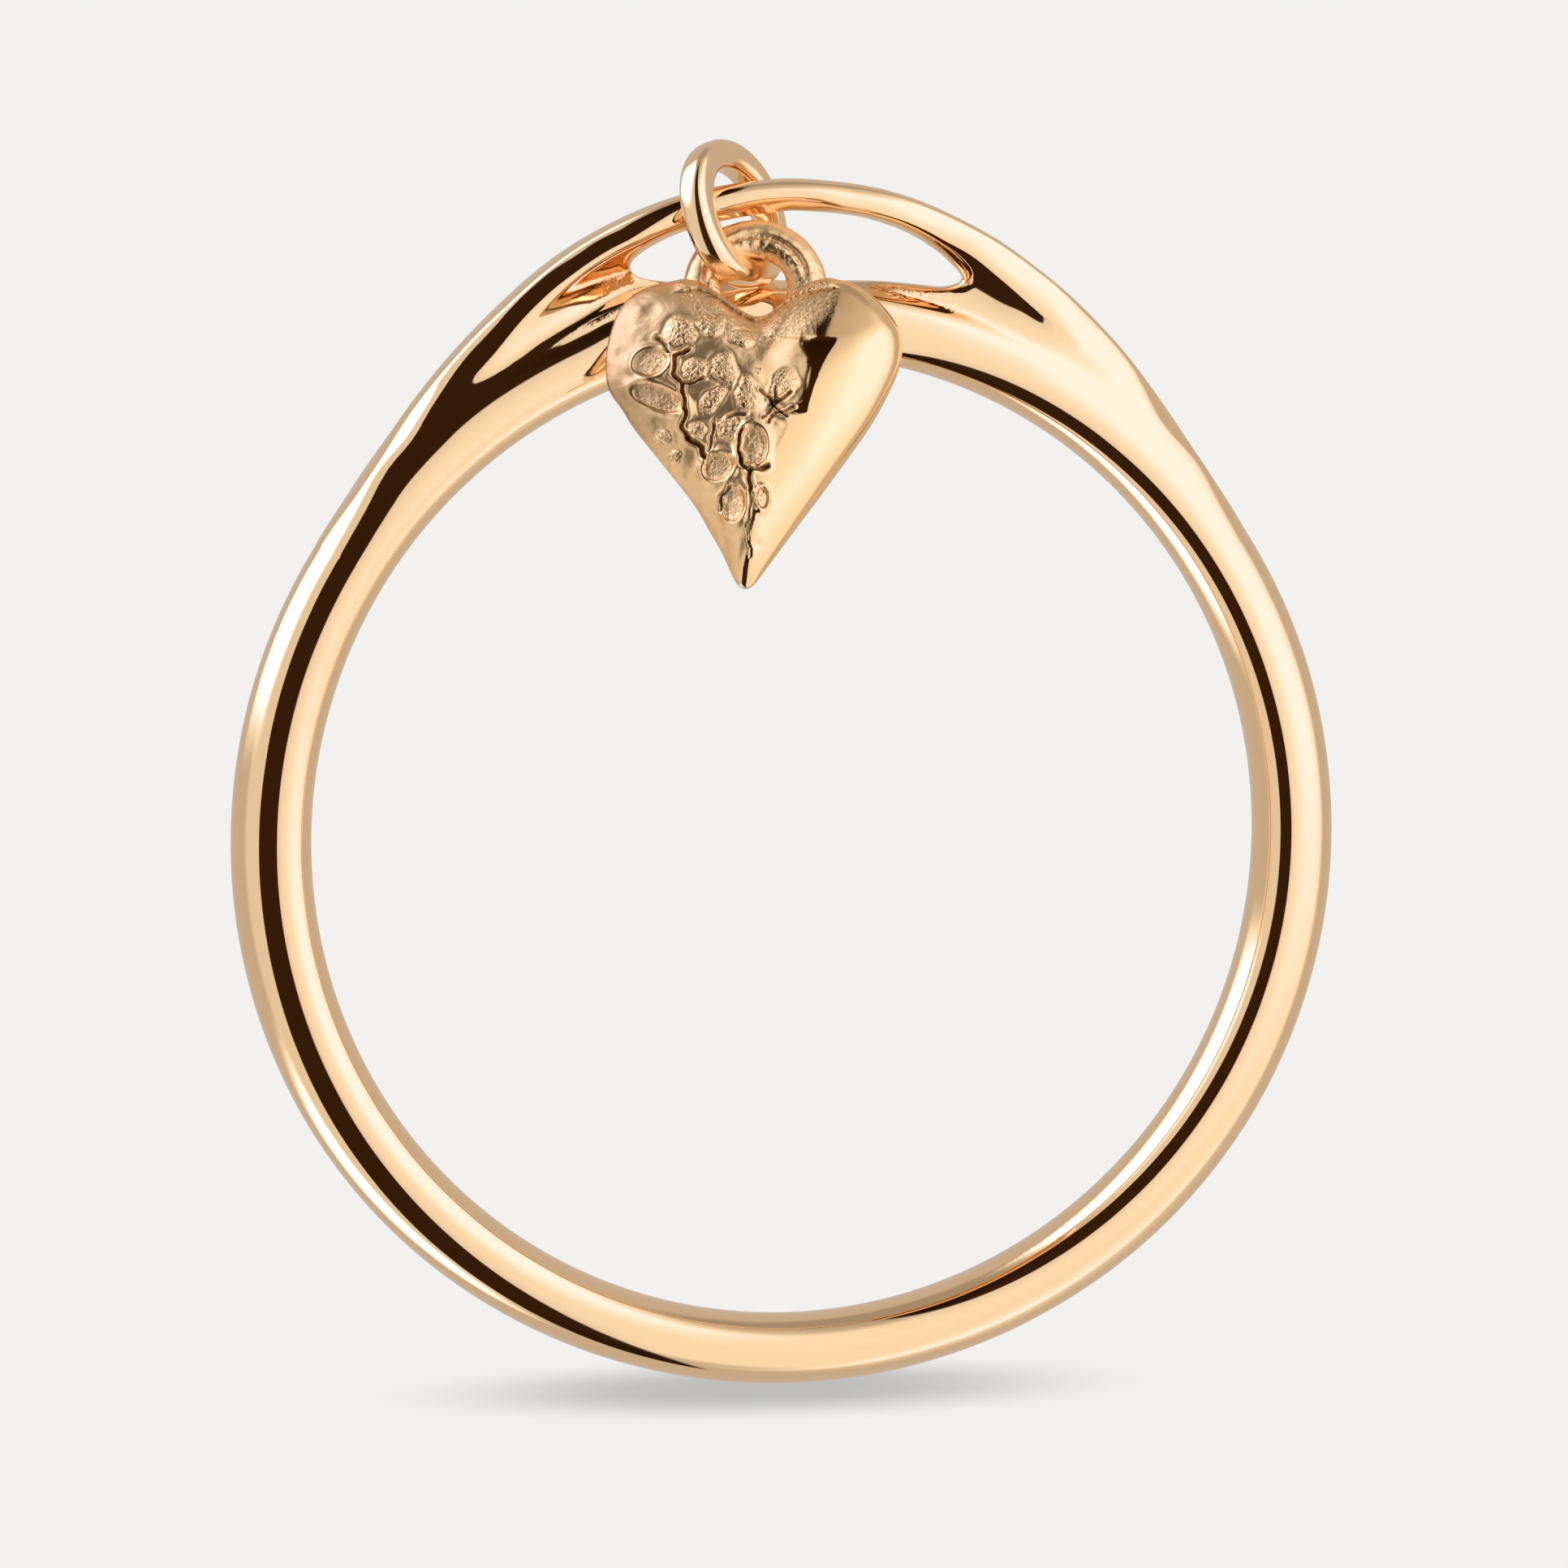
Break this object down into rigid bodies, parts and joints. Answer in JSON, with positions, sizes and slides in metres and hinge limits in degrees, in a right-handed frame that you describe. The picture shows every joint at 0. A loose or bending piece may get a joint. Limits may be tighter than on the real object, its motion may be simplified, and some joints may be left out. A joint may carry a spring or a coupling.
{
  "type": "heart charm ring",
  "caption": "Slim gold finger ring with a forked top and a small cast heart charm hanging from the upper strand by a jump ring.",
  "frame": {"origin": "centre of the finger hole, halfway through the band's axial width", "axes": "+Z along the finger's axis, towards the side that the heart hangs over; +Y towards the forked top of the band; +X to the right as seen from +Z"},
  "size_m": [0.0202, 0.0224, 0.0047],
  "materials": {
    "band_gold": "polished warm gold",
    "jump_gold": "polished warm gold wire",
    "heart_gold": "cast gold, polished on one side"
  },
  "bodies": {
    "root": {"ring_band": "band_gold", "jump_ring": "jump_gold", "heart_charm": "heart_gold"}
  },
  "joints": []
}
